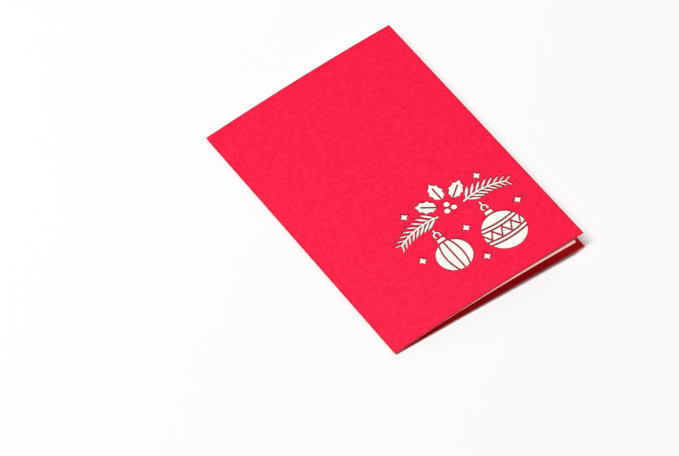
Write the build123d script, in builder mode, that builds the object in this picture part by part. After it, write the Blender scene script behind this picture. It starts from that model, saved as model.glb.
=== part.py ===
from build123d import *
import math
import os

# A folded greeting card lying on its back cover, in millimetres.
# The fold runs along Y, +X points from the fold to the fore edge, and +Z is up.
# The origin is the middle of the back cover's underside.

# Red card sheet
card_length = 150.0  # along the fold
cover_width = 105.2  # half the flat sheet
fold_offset = 0.6  # how far the fold lies off the sheet's middle, so that the back cover stands out
card_stock = 0.35
fold_inside_radius = 0.15
spring_angle = 7.4  # slope of the front cover where it leaves the fold, in degrees
fore_angle = 1.0  # its slope at the fore edge, in degrees
fold_skew = 0.47  # how far the sheet was folded out of square, in degrees

# Cream leaf behind the front cover
leaf_stock = 0.22
glue_film = 0.05
leaf_fold_margin = 4.0  # from the fold to the leaf's near edge
leaf_fore_margin = 4.7  # how far it stops short of the fore edge
leaf_end_margin = 0.6  # how far it stops short of the card's two ends, beside the fold
leaf_skew = 0.73  # how far it was glued out of square, in degrees, so that its lower corner shows
corner_height = 24.0  # how far up its fore edge the leaf's lower corner comes loose
corner_drop = 0.8  # how far that corner hangs below the cover
corner_bend = 6  # a higher number keeps the bend closer to the fore edge
leaf_columns = 9  # spaces between the points that its surface is drawn through, across the leaf
corner_rows = 6  # the same, up the loose corner
plain_rows = 4  # the same, above the loose corner

# Stencil picture, cut through the front cover near its lower fore corner
picture_inset = 39.5  # its centre, measured from the fore edge
picture_up = 36.5  # its centre, measured from the lower end
bridge = 0.65  # red lines left standing between openings

# Fir twigs
stem_width = 1.1
twig_reach = 30.0  # how far each twig reaches from the picture's centre line
twig_root = (7.0, 10.6)
twig_tip_height = 7.8
twig_arch = 2.0  # rise of the stem above its chord
needle_spacing = 2.95  # between pairs of needles, along the stem
needle_length = 8.0
needle_taper = 0.45  # share of its length that the last needle has lost
needle_width = 1.4
needle_angle = 40.0  # between a needle and its stem, in degrees
first_needles = 0.6  # place of the first pair, as a share of the space between pairs

# Holly sprig
holly_length = 12.4
holly_half_width = 3.8
holly_spines = ((0.25, 0.75), (0.5, 1.0), (0.76, 0.72))  # as shares of its length and half width
holly_scallop = 0.55  # depth of the curve between two spines
midrib_share = 0.72  # how much of the leaf the midrib runs through
holly_foot_radius = 4.2  # from the sprig's centre to each leaf's foot
holly_angles = (37.0, 90.0, 143.0)
sprig_height = 11.8  # above the picture's centre
berry_radius = 1.45
berry_circle = 2.15

# Baubles
ribbed_radius = 8.6
ribbed_place = (-13.6, -10.6)
rib_spread = 4.3  # how far the side ribs stand from the middle one
rib_pole_spread = 2.6  # the same at the top and bottom of the ball
banded_radius = 10.6
banded_place = (12.6, -13.4)
band_half_height = 2.9
stripe_gap = 2.1  # from the band to the stripe beyond it
band_sag = 1.5  # how far the band's lines curve down in the middle
zigzag_count = 8
cap_width = 4.4
cap_height = 2.0
cap_side_angle = 80.0
ring_radius = 1.5
ring_stroke = 0.9
ring_opening = 70.0  # part of the ring left uncut, so that its middle stays, in degrees
thread_top = 6.2  # height above the picture's centre where both threads end

# Sparkles
sparkle_radius = 2.7
sparkle_hollow = 2.9  # radius of the curve between two points
sparkle_places = ((-27.0, -4.5), (-0.6, -2.0), (27.4, -3.5), (-2.4, -20.4), (-19.5, 20.0), (20.5, 18.6))

# Places that follow from the sizes
front_width = cover_width - fold_offset
back_width = cover_width + fold_offset
fold_x = -back_width / 2
fold_z = card_stock + fold_inside_radius
fold_mid_radius = fold_inside_radius + card_stock / 2
arch_turn = spring_angle - fore_angle
arch_radius = front_width / math.radians(arch_turn)
arch_drop = arch_radius - fold_mid_radius
arch_centre = (
    fold_x + arch_drop * math.sin(math.radians(spring_angle)),
    fold_z - arch_drop * math.cos(math.radians(spring_angle)),
)
trim_margin = 4.0  # extra card and height that the outlines trim away
card_top = fold_z + front_width * math.sin(math.radians(spring_angle)) + trim_margin


def cover_outline(width, turn):
    """One cover from above: a square-cut sheet whose edges are turned from the fold."""
    along = Vector(math.cos(math.radians(turn)), math.sin(math.radians(turn)))
    gain = card_length / 2 * math.sin(math.radians(turn))
    lower_fold = Vector(fold_x, -card_length / 2)
    upper_fold = Vector(fold_x, card_length / 2)
    with BuildSketch() as outline:
        with BuildLine():
            Polyline(
                lower_fold,
                lower_fold + along * (width + gain),
                upper_fold + along * (width - gain),
                upper_fold,
                close=True,
            )
        make_face()
    return outline.sketch


# One fir needle, pointed at both ends, lying along X from its foot
needle_bulge = (needle_length**2 / 4 + needle_width**2 / 4) / needle_width
with BuildSketch() as needle:
    with BuildLine():
        RadiusArc((0, 0), (needle_length, 0), needle_bulge)
        RadiusArc((needle_length, 0), (0, 0), needle_bulge)
    make_face()

# The right-hand twig: an arched stem with needles in pairs that shorten towards the tip
with BuildSketch() as twig:
    with BuildLine():
        stem_arc = SagittaArc(twig_root, (twig_reach, twig_tip_height), twig_arch)
    trace(line_width=stem_width)
    needle_pairs = round(stem_arc.length / needle_spacing)
    for pair in range(needle_pairs):
        along_stem = (pair + first_needles) / needle_pairs
        heading = stem_arc.tangent_angle_at(along_stem)
        size = 1 - needle_taper * along_stem
        for side in (1, -1):
            with Locations(Location(stem_arc @ along_stem, heading + side * needle_angle)):
                add(scale(needle.sketch, by=size, mode=Mode.PRIVATE))

# One holly leaf along X: spines joined by hollow curves, with a red midrib left standing
holly_edge = [(along * holly_length, out * holly_half_width) for along, out in holly_spines]
holly_edge = [(0, 0), *holly_edge, (holly_length, 0)]
with BuildSketch() as holly_leaf:
    with BuildLine():
        for near, far in zip(holly_edge, holly_edge[1:]):
            SagittaArc(near, far, -holly_scallop)
        Line(holly_edge[-1], holly_edge[0])
    make_face()
    mirror(about=Plane.XZ)
    with BuildLine():
        Line((0, 0), (midrib_share * holly_length, 0))
    trace(line_width=bridge, mode=Mode.SUBTRACT)

# A bauble whose ribs run from pole to pole
with BuildSketch() as ribbed_ball:
    Circle(ribbed_radius)
    with BuildLine():
        Line((0, -ribbed_radius), (0, ribbed_radius))
        for side in (1, -1):
            top = (side * rib_pole_spread, ribbed_radius)
            bottom = (side * rib_pole_spread, -ribbed_radius)
            ThreePointArc(top, (side * rib_spread, 0), bottom)
    trace(line_width=bridge, mode=Mode.SUBTRACT)

# A bauble with a zigzag between two curved lines
band_ends = banded_radius + bridge
with BuildSketch() as banded_ball:
    Circle(banded_radius)
    with BuildLine():
        for height in (band_half_height, band_half_height + stripe_gap):
            for side in (height, -height):
                ThreePointArc((-band_ends, side + band_sag), (0, side), (band_ends, side + band_sag))
    trace(line_width=bridge, mode=Mode.SUBTRACT)
    with BuildLine():
        corners = []
        for step in range(zigzag_count + 1):
            across = banded_radius * (2 * step / zigzag_count - 1)
            curve = band_sag * (across / band_ends) ** 2
            corners.append((across, curve + (band_half_height - bridge) * (1 - 2 * (step % 2))))
        Polyline(*corners)
    trace(line_width=bridge, mode=Mode.SUBTRACT)


def hanger(ball_radius, ball_height):
    """A bauble's cap, ring and thread, above a ball centred on the origin."""
    cap_foot = ball_radius + bridge
    ring_height = cap_foot + cap_height + bridge + ring_radius
    with BuildSketch() as drawn:
        with Locations((0, cap_foot + cap_height / 2)):
            Trapezoid(cap_width, cap_height, cap_side_angle)
        with BuildLine():
            CenterArc((0, ring_height), ring_radius, 270 + ring_opening / 2, 360 - ring_opening)
        trace(line_width=ring_stroke)
        with BuildLine():
            Line((0, ring_height + ring_radius), (0, thread_top - ball_height))
        trace(line_width=ring_stroke)
    return drawn.sketch


ribbed_hanger = hanger(ribbed_radius, ribbed_place[1])
banded_hanger = hanger(banded_radius, banded_place[1])

# A sparkle with four hollow-sided points
with BuildSketch() as sparkle:
    with BuildLine():
        tips = [Vector(sparkle_radius, 0).rotate(Axis.Z, 90 * quarter) for quarter in range(5)]
        for near, far in zip(tips, tips[1:]):
            RadiusArc(near, far, sparkle_hollow)
    make_face()

# The whole picture, in the front cover's own frame
along_cover = Vector(math.cos(math.radians(fold_skew)), math.sin(math.radians(fold_skew)))
up_cover = along_cover.rotate(Axis.Z, 90)
lower_fore_corner = Vector(fold_x, -card_length / 2) + along_cover * front_width
picture_centre = lower_fore_corner - along_cover * picture_inset + up_cover * picture_up
picture_plane = Plane(origin=picture_centre, x_dir=along_cover, z_dir=(0, 0, 1))
with BuildSketch(picture_plane) as picture:
    add(twig.sketch)
    mirror(twig.sketch, about=Plane.YZ)
    with Locations((0, sprig_height)):
        with PolarLocations(berry_circle, 3, start_angle=90):
            Circle(berry_radius)
        for angle in holly_angles:
            with PolarLocations(holly_foot_radius, 1, start_angle=angle):
                add(holly_leaf.sketch)
    with Locations(ribbed_place):
        add(ribbed_ball.sketch)
        add(ribbed_hanger)
    with Locations(banded_place):
        add(banded_ball.sketch)
        add(banded_hanger)
    with Locations(*sparkle_places):
        add(sparkle.sketch)

# The red sheet: front cover and fold from one traced section, then the flat back cover
front_outline = cover_outline(front_width, fold_skew)
back_outline = cover_outline(back_width, -fold_skew)
with BuildPart() as cover:
    with BuildSketch(Plane.XZ):
        with BuildLine():
            CenterArc((fold_x, fold_z), fold_mid_radius, 270, spring_angle - 180)
            trim_turn = arch_turn * (1 + trim_margin / front_width)
            CenterArc(arch_centre, arch_radius, 90 + spring_angle, -trim_turn)
        trace(line_width=card_stock)
    extrude(amount=card_length / 2 + trim_margin, both=True)
    with BuildSketch():
        add(front_outline)
        with Locations((fold_x, 0)):
            Rectangle(2 * fold_z, card_length, align=(Align.MAX, Align.CENTER))
    extrude(amount=card_top, mode=Mode.INTERSECT)
    add(picture.sketch)
    extrude(amount=card_top, mode=Mode.SUBTRACT)
    add(back_outline)
    extrude(amount=card_stock)
cover.part.label = "cover"

# The cream leaf: it lies against the front cover, but for its loose lower corner
leaf_width = front_width - leaf_fold_margin - leaf_fore_margin
leaf_length = card_length - 2 * leaf_end_margin
leaf_arch_radius = arch_radius - card_stock / 2 - glue_film
leaf_corner = Vector(fold_x + leaf_fold_margin, -leaf_length / 2)


def leaf_point(across, up):
    """A point on the leaf's upper side, from its place across and up the leaf."""
    place = leaf_corner + Vector(across, up).rotate(Axis.Z, -leaf_skew)
    arch_rise = math.sqrt(leaf_arch_radius**2 - (place.X - arch_centre[0]) ** 2)
    share = across / leaf_width
    bend = share**corner_bend * (corner_bend + 1 - corner_bend * share)
    drop = corner_drop * bend * max(1 - up / corner_height, 0) ** 3
    return Vector(place.X, place.Y, arch_centre[1] + arch_rise - drop)


columns = [leaf_width * step / leaf_columns for step in range(leaf_columns + 1)]
rows = [corner_height * step / corner_rows for step in range(corner_rows)]
rows += [corner_height + (leaf_length - corner_height) * step / plain_rows for step in range(plain_rows + 1)]
leaf_surface = Face.make_surface_from_array_of_points([[leaf_point(x, y) for y in rows] for x in columns])
with BuildPart() as leaf:
    thicken(leaf_surface, amount=-leaf_stock)
leaf.part.label = "leaf"

os.makedirs("parts", exist_ok=True)
export_step(cover.part, "parts/cover.step")
export_step(leaf.part, "parts/leaf.step")
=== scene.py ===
import math

import bmesh
import bpy
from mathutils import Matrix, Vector


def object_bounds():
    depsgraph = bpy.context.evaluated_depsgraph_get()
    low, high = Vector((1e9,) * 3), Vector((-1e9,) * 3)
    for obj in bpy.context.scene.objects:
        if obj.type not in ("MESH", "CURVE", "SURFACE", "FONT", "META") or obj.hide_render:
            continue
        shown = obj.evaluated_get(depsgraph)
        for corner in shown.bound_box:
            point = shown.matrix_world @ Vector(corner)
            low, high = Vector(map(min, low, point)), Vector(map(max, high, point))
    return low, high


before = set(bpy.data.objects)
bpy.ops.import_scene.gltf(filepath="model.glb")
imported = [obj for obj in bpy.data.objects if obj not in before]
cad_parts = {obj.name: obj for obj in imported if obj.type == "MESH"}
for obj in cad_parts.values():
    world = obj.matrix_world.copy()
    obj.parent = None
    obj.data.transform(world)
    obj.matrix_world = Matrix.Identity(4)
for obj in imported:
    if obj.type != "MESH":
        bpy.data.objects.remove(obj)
cad_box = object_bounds()
scene = bpy.context.scene

# A long lens stands above the card's lower left, so the sheet keeps nearly parallel sides.
# The middle of the picture looks at a point under the card, left of its middle.
PICTURE_WIDTH_PX = 679
LENS_PX = 5000.0
SENSOR_MM = 36.0
VIEW_TURN = math.radians(-35.31)
VIEW_HEIGHT = math.radians(53.19)
VIEW_DISTANCE = 2.2833
VIEW_CENTRE = Vector((-0.03285, -0.00260, 0.0))
NEAREST_SEEN = 0.05
FARTHEST_SEEN = 50.0

camera_data = bpy.data.cameras.new("picture_camera")
camera_data.sensor_width = SENSOR_MM
camera_data.lens = SENSOR_MM * LENS_PX / PICTURE_WIDTH_PX
camera_data.clip_start = NEAREST_SEEN
camera_data.clip_end = FARTHEST_SEEN
camera = bpy.data.objects.new("picture_camera", camera_data)
scene.collection.objects.link(camera)
towards_camera = Vector((
    math.sin(VIEW_TURN) * math.cos(VIEW_HEIGHT),
    -math.cos(VIEW_TURN) * math.cos(VIEW_HEIGHT),
    math.sin(VIEW_HEIGHT),
))
camera.location = VIEW_CENTRE + VIEW_DISTANCE * towards_camera
camera.rotation_mode = "QUATERNION"
camera.rotation_quaternion = (-towards_camera).to_track_quat("-Z", "Y")
scene.camera = camera

# The cover is one sheet of red card, dyed through and folded once, with a picture cut through its
# front by a laser. The dye lies unevenly in the fibres, and the inside faces are painted a deeper red
# as painted shade. The cuts and the front's edges have dark rims, and the back's edges are paler.
CARD_RED_PALE = (0.95, 0.011, 0.064, 1.0)
CARD_RED_DEEP = (0.90, 0.0005, 0.046, 1.0)
CARD_CLOUD_SCALE = 480.0
CARD_CLOUD_DETAIL = 3.0
CARD_CLOUD_ROUGHNESS = 0.65
CARD_CLOUD_LOW = 0.34
CARD_CLOUD_HIGH = 0.66
CARD_GRAIN_SCALE = 1500.0
CARD_GRAIN_DETAIL = 4.0
CARD_GRAIN_ROUGHNESS = 0.6
CARD_GRAIN_DEPTH = 0.00005
CARD_GRAIN_STRENGTH = 0.8
CARD_ROUGHNESS = 0.45
CARD_GLOSS = 0.13
INSIDE_SHADE_RED = (0.84, 0.0, 0.002, 1.0)
INSIDE_SHADE_SHARE = 0.8
INSIDE_LEVEL = 0.0006  # just above the back cover
LEAST_TURN = 0.00001  # leaves the upright faces out of the inside
DARK_RIM_RED = (0.20, 0.001, 0.010, 1.0)
SCORCH_REACH = 0.00033  # just under the card's thickness
SCORCH_SAMPLES = 8
SCORCH_START = 1.0  # share of the short ways in that stay in the sheet, where a rim starts
SCORCH_FULL = 0.85  # the same, where it is darkest
TRIM_DARK_WIDTH = 0.0008
TRIM_DARK_SHARE = 0.7
PALE_EDGE_RED = (0.95, 0.18, 0.20, 1.0)
UPRIGHT_LIMIT = 0.5  # a face is upright where less of its direction than this is up or down
FORE_STRIP = 0.0030
FORE_MARGIN = cad_box[1][0] - FORE_STRIP  # only the covers' fore edges lie beyond it
END_MARGIN = 0.0737  # only the covers' ends lie beyond it
FOLD_RADIUS = 0.0005
FOLD_MIDDLE = (cad_box[0][0] + FOLD_RADIUS, 0.0, 0.0)
FRONT_TURN = math.radians(0.47)
FRONT_WIDTH = 0.1046
FRONT_HALF_LENGTH = 0.075


class Recipe:
    """The nodes of one material, or of the room's light."""

    def __init__(self, owner):
        owner.use_nodes = True
        self.tree = owner.node_tree
        self.place = self.add("ShaderNodeTexCoord").outputs

    def feed(self, socket, value):
        """Links another node's output to a socket, or gives it a plain value."""
        if isinstance(value, bpy.types.NodeSocket):
            self.tree.links.new(value, socket)
        else:
            socket.default_value = value

    def add(self, kind, inputs=None, **settings):
        """Adds a node, with its inputs by name or number, and its own settings."""
        node = self.tree.nodes.new(kind)
        for name, value in settings.items():
            setattr(node, name, value)
        for name, value in (inputs or {}).items():
            self.feed(node.inputs[name], value)
        return node

    def noise(self, scale, detail, roughness):
        """A number that wanders between 0 and 1 from place to place."""
        inputs = {"Vector": self.place["Object"], "Scale": scale, "Detail": detail, "Roughness": roughness}
        return self.add("ShaderNodeTexNoise", inputs).outputs["Fac"]

    def axes(self, vector):
        """The X, Y and Z of a vector."""
        return self.add("ShaderNodeSeparateXYZ", {"Vector": vector}).outputs

    def work_out(self, operation, first, second=0.0):
        """The result of one sum or comparison."""
        return self.add("ShaderNodeMath", {0: first, 1: second}, operation=operation).outputs["Value"]

    def ramp(self, value, start, end, bottom=0.0, top=1.0):
        """A number that goes from bottom to top while the value goes from start to end."""
        inputs = {"Value": value, "From Min": start, "From Max": end, "To Min": bottom, "To Max": top}
        return self.add("ShaderNodeMapRange", inputs).outputs["Result"]

    def mix(self, share, first, second):
        """A colour between two, with a share of the second."""
        inputs = {"Factor": share, "A": first, "B": second}
        return self.add("ShaderNodeMix", inputs, data_type="RGBA").outputs["Result"]

    def shade(self, colour, roughness, gloss):
        """Gives the surface its colour, roughness and gloss."""
        surface = self.tree.nodes["Principled BSDF"].inputs
        self.feed(surface["Base Color"], colour)
        self.feed(surface["Roughness"], roughness)
        self.feed(surface["Specular IOR Level"], gloss)

    def roughen(self, height, strength, depth):
        """Gives the surface a fine relief."""
        relief = self.add("ShaderNodeBump", {"Height": height, "Strength": strength, "Distance": depth})
        self.feed(self.tree.nodes["Principled BSDF"].inputs["Normal"], relief.outputs["Normal"])


red_card = bpy.data.materials.new("red_card_stock")
card = Recipe(red_card)
facing = card.axes(card.add("ShaderNodeNewGeometry").outputs["Normal"])
spot = card.axes(card.place["Object"])

cloud = card.noise(CARD_CLOUD_SCALE, CARD_CLOUD_DETAIL, CARD_CLOUD_ROUGHNESS)
paleness = card.ramp(cloud, CARD_CLOUD_LOW, CARD_CLOUD_HIGH)
dye = card.mix(paleness, CARD_RED_DEEP, CARD_RED_PALE)

# The card's inside faces up below the inside level, and down above it; there a deeper red is painted on as
# painted shade
under_level = card.work_out("SUBTRACT", INSIDE_LEVEL, spot["Z"])
turned_in = card.work_out("MULTIPLY", facing["Z"], under_level)
is_inside = card.work_out("GREATER_THAN", turned_in, LEAST_TURN)
dye = card.mix(card.work_out("MULTIPLY", is_inside, INSIDE_SHADE_SHARE), dye, INSIDE_SHADE_RED)

# A scorched rim lies where a short way into the sheet leads out through its side
inward = {"samples": SCORCH_SAMPLES, "inside": True, "only_local": True}
stays_inside = card.add("ShaderNodeAmbientOcclusion", {"Distance": SCORCH_REACH}, **inward).outputs["AO"]
rim = card.ramp(stays_inside, SCORCH_START, SCORCH_FULL)
is_at_end = card.work_out("GREATER_THAN", card.work_out("ABSOLUTE", spot["Y"]), END_MARGIN)
is_at_fore = card.work_out("GREATER_THAN", spot["X"], FORE_MARGIN)
is_outline = card.work_out("MAXIMUM", is_at_end, is_at_fore)
cut_rim = card.work_out("MULTIPLY", rim, card.work_out("SUBTRACT", 1.0, is_outline))

# The front lies a little out of square with the fold, so its edges are measured square with it
square_up = {"Vector": card.place["Object"], "Center": FOLD_MIDDLE, "Angle": -FRONT_TURN}
squared = card.axes(card.add("ShaderNodeVectorRotate", square_up, rotation_type="Z_AXIS").outputs["Vector"])
from_fore = card.work_out("SUBTRACT", FOLD_MIDDLE[0] + FRONT_WIDTH, squared["X"])
from_end = card.work_out("SUBTRACT", FRONT_HALF_LENGTH, card.work_out("ABSOLUTE", squared["Y"]))
from_edge = card.work_out("MINIMUM", from_fore, from_end)
# A dark rim is painted on the front's top face along its outline
trim_rim = card.ramp(from_edge, TRIM_DARK_WIDTH, 0.0, top=TRIM_DARK_SHARE)
is_low = card.work_out("LESS_THAN", spot["Z"], INSIDE_LEVEL)
trim_rim = card.work_out("MULTIPLY", trim_rim, card.work_out("SUBTRACT", 1.0, is_low))
stock = card.mix(card.work_out("MAXIMUM", cut_rim, trim_rim), dye, DARK_RIM_RED)

# The outline's cut faces, and the back's top face along its outline, are painted paler
is_upright = card.work_out("LESS_THAN", card.work_out("ABSOLUTE", facing["Z"]), UPRIGHT_LIMIT)
is_paler_edge = card.work_out("MAXIMUM", is_upright, card.work_out("MULTIPLY", rim, is_low))
colour = card.mix(card.work_out("MULTIPLY", is_paler_edge, is_outline), stock, PALE_EDGE_RED)
card.shade(colour, CARD_ROUGHNESS, CARD_GLOSS)
grain = card.noise(CARD_GRAIN_SCALE, CARD_GRAIN_DETAIL, CARD_GRAIN_ROUGHNESS)
card.roughen(grain, CARD_GRAIN_STRENGTH, CARD_GRAIN_DEPTH)

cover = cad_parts["cover"]
cover.material_slots[0].material = red_card

# The leaf is one sheet of thin uncoated cream paper, glued a little askew against the inside of the
# front cover, where it backs the cut picture. Its lower corner has come loose, and its lower edge is
# painted peach as painted red bounce light and shade from the cover.
LEAF_CREAM_PALE = (0.97, 0.95, 0.90, 1.0)
LEAF_CREAM_DEEP = (0.94, 0.91, 0.85, 1.0)
LEAF_CLOUD_SCALE = 500.0
LEAF_CLOUD_DETAIL = 4.0
LEAF_CLOUD_ROUGHNESS = 0.6
LEAF_TOOTH_STRENGTH = 0.4
LEAF_TOOTH_DEPTH = 0.00002
LEAF_ROUGHNESS = 0.8
LEAF_GLOSS = 0.2
BOUNCE_SHADE_PEACH = (0.97, 0.50, 0.44, 1.0)
BOUNCE_SHADE_FROM = -0.0739
BOUNCE_SHADE_TO = -0.0749

cream_paper = bpy.data.materials.new("cream_leaf_paper")
paper = Recipe(cream_paper)
cloud = paper.noise(LEAF_CLOUD_SCALE, LEAF_CLOUD_DETAIL, LEAF_CLOUD_ROUGHNESS)
cream = paper.mix(cloud, LEAF_CREAM_DEEP, LEAF_CREAM_PALE)
# Painted bounce light and shade: the leaf's lower edge is mixed toward peach
bounce_shade = paper.ramp(paper.axes(paper.place["Object"])["Y"], BOUNCE_SHADE_FROM, BOUNCE_SHADE_TO)
paper.shade(paper.mix(bounce_shade, cream, BOUNCE_SHADE_PEACH), LEAF_ROUGHNESS, LEAF_GLOSS)
paper.roughen(cloud, LEAF_TOOTH_STRENGTH, LEAF_TOOTH_DEPTH)

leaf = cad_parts["leaf"]
leaf.material_slots[0].material = cream_paper

# The table is a wide white board under the card, one level grid of faces. Its paint is very
# slightly cloudy, and it keeps the card's soft shadow.
TABLE_HALF = 6.0
TABLE_DROP = 0.0002
TABLE_WHITE = (0.94, 0.94, 0.94, 1.0)
TABLE_WHITE_SHADE = (0.93, 0.93, 0.935, 1.0)
TABLE_CLOUD_SCALE = 6.0
TABLE_CLOUD_DETAIL = 3.0
TABLE_CLOUD_ROUGHNESS = 0.5
TABLE_ROUGHNESS = 0.9
TABLE_GLOSS = 0.1

white_board = bpy.data.materials.new("white_board")
paint = Recipe(white_board)
cloud = paint.noise(TABLE_CLOUD_SCALE, TABLE_CLOUD_DETAIL, TABLE_CLOUD_ROUGHNESS)
paint.shade(paint.mix(cloud, TABLE_WHITE_SHADE, TABLE_WHITE), TABLE_ROUGHNESS, TABLE_GLOSS)

table_mesh = bpy.data.meshes.new("table")
board = bmesh.new()
bmesh.ops.create_grid(board, x_segments=1, y_segments=1, size=TABLE_HALF)
bmesh.ops.translate(board, verts=board.verts, vec=(0.0, 0.0, -TABLE_DROP))
board.to_mesh(table_mesh)
board.free()
table_mesh.materials.append(white_board)
table = bpy.data.objects.new("table", table_mesh)
scene.collection.objects.link(table)

# Soft studio light: one long diffuser hangs high over the card, a dim window stands low beyond its
# upper fore corner, and a pale room, darker near the floor, fills the rest. Together they light a
# level sheet so that its colours come out as written.
DIFFUSER_SIDES = (2.7, 0.45)
DIFFUSER_PLACE = Vector((-0.76, 0.43, 2.87))
DIFFUSER_POWER = 84.0
WINDOW_SIDES = (1.6, 1.0)
WINDOW_PLACE = Vector((2.3, 1.6, 1.15))
WINDOW_POWER = 13.0
ROOM_WHITE = (1.0, 1.0, 1.0, 1.0)
ROOM_HORIZON = 0.04
ROOM_CEILING = 0.26


def hang_lamp(name, sides, place, power):
    """A lit rectangle that faces the card, with its second side at right angles to X."""
    light = bpy.data.lights.new(name, "AREA")
    light.shape = "RECTANGLE"
    light.size, light.size_y = sides
    light.energy = power
    lamp = bpy.data.objects.new(name, light)
    scene.collection.objects.link(lamp)
    lamp.location = place
    lamp.rotation_mode = "YXZ"
    lamp.rotation_euler = (-math.atan2(place.y, place.z), math.asin(place.x / place.length), 0.0)


hang_lamp("diffuser", DIFFUSER_SIDES, DIFFUSER_PLACE, DIFFUSER_POWER)
hang_lamp("window", WINDOW_SIDES, WINDOW_PLACE, WINDOW_POWER)

room = bpy.data.worlds.new("pale_room")
room_walls = Recipe(room)
height = room_walls.axes(room_walls.place["Generated"])["Z"]
glow = room_walls.ramp(height, 0.0, 1.0, bottom=ROOM_HORIZON, top=ROOM_CEILING)
background = room_walls.tree.nodes["Background"].inputs
room_walls.feed(background["Color"], ROOM_WHITE)
room_walls.feed(background["Strength"], glow)
scene.world = room

scene.view_settings.view_transform = "Standard"
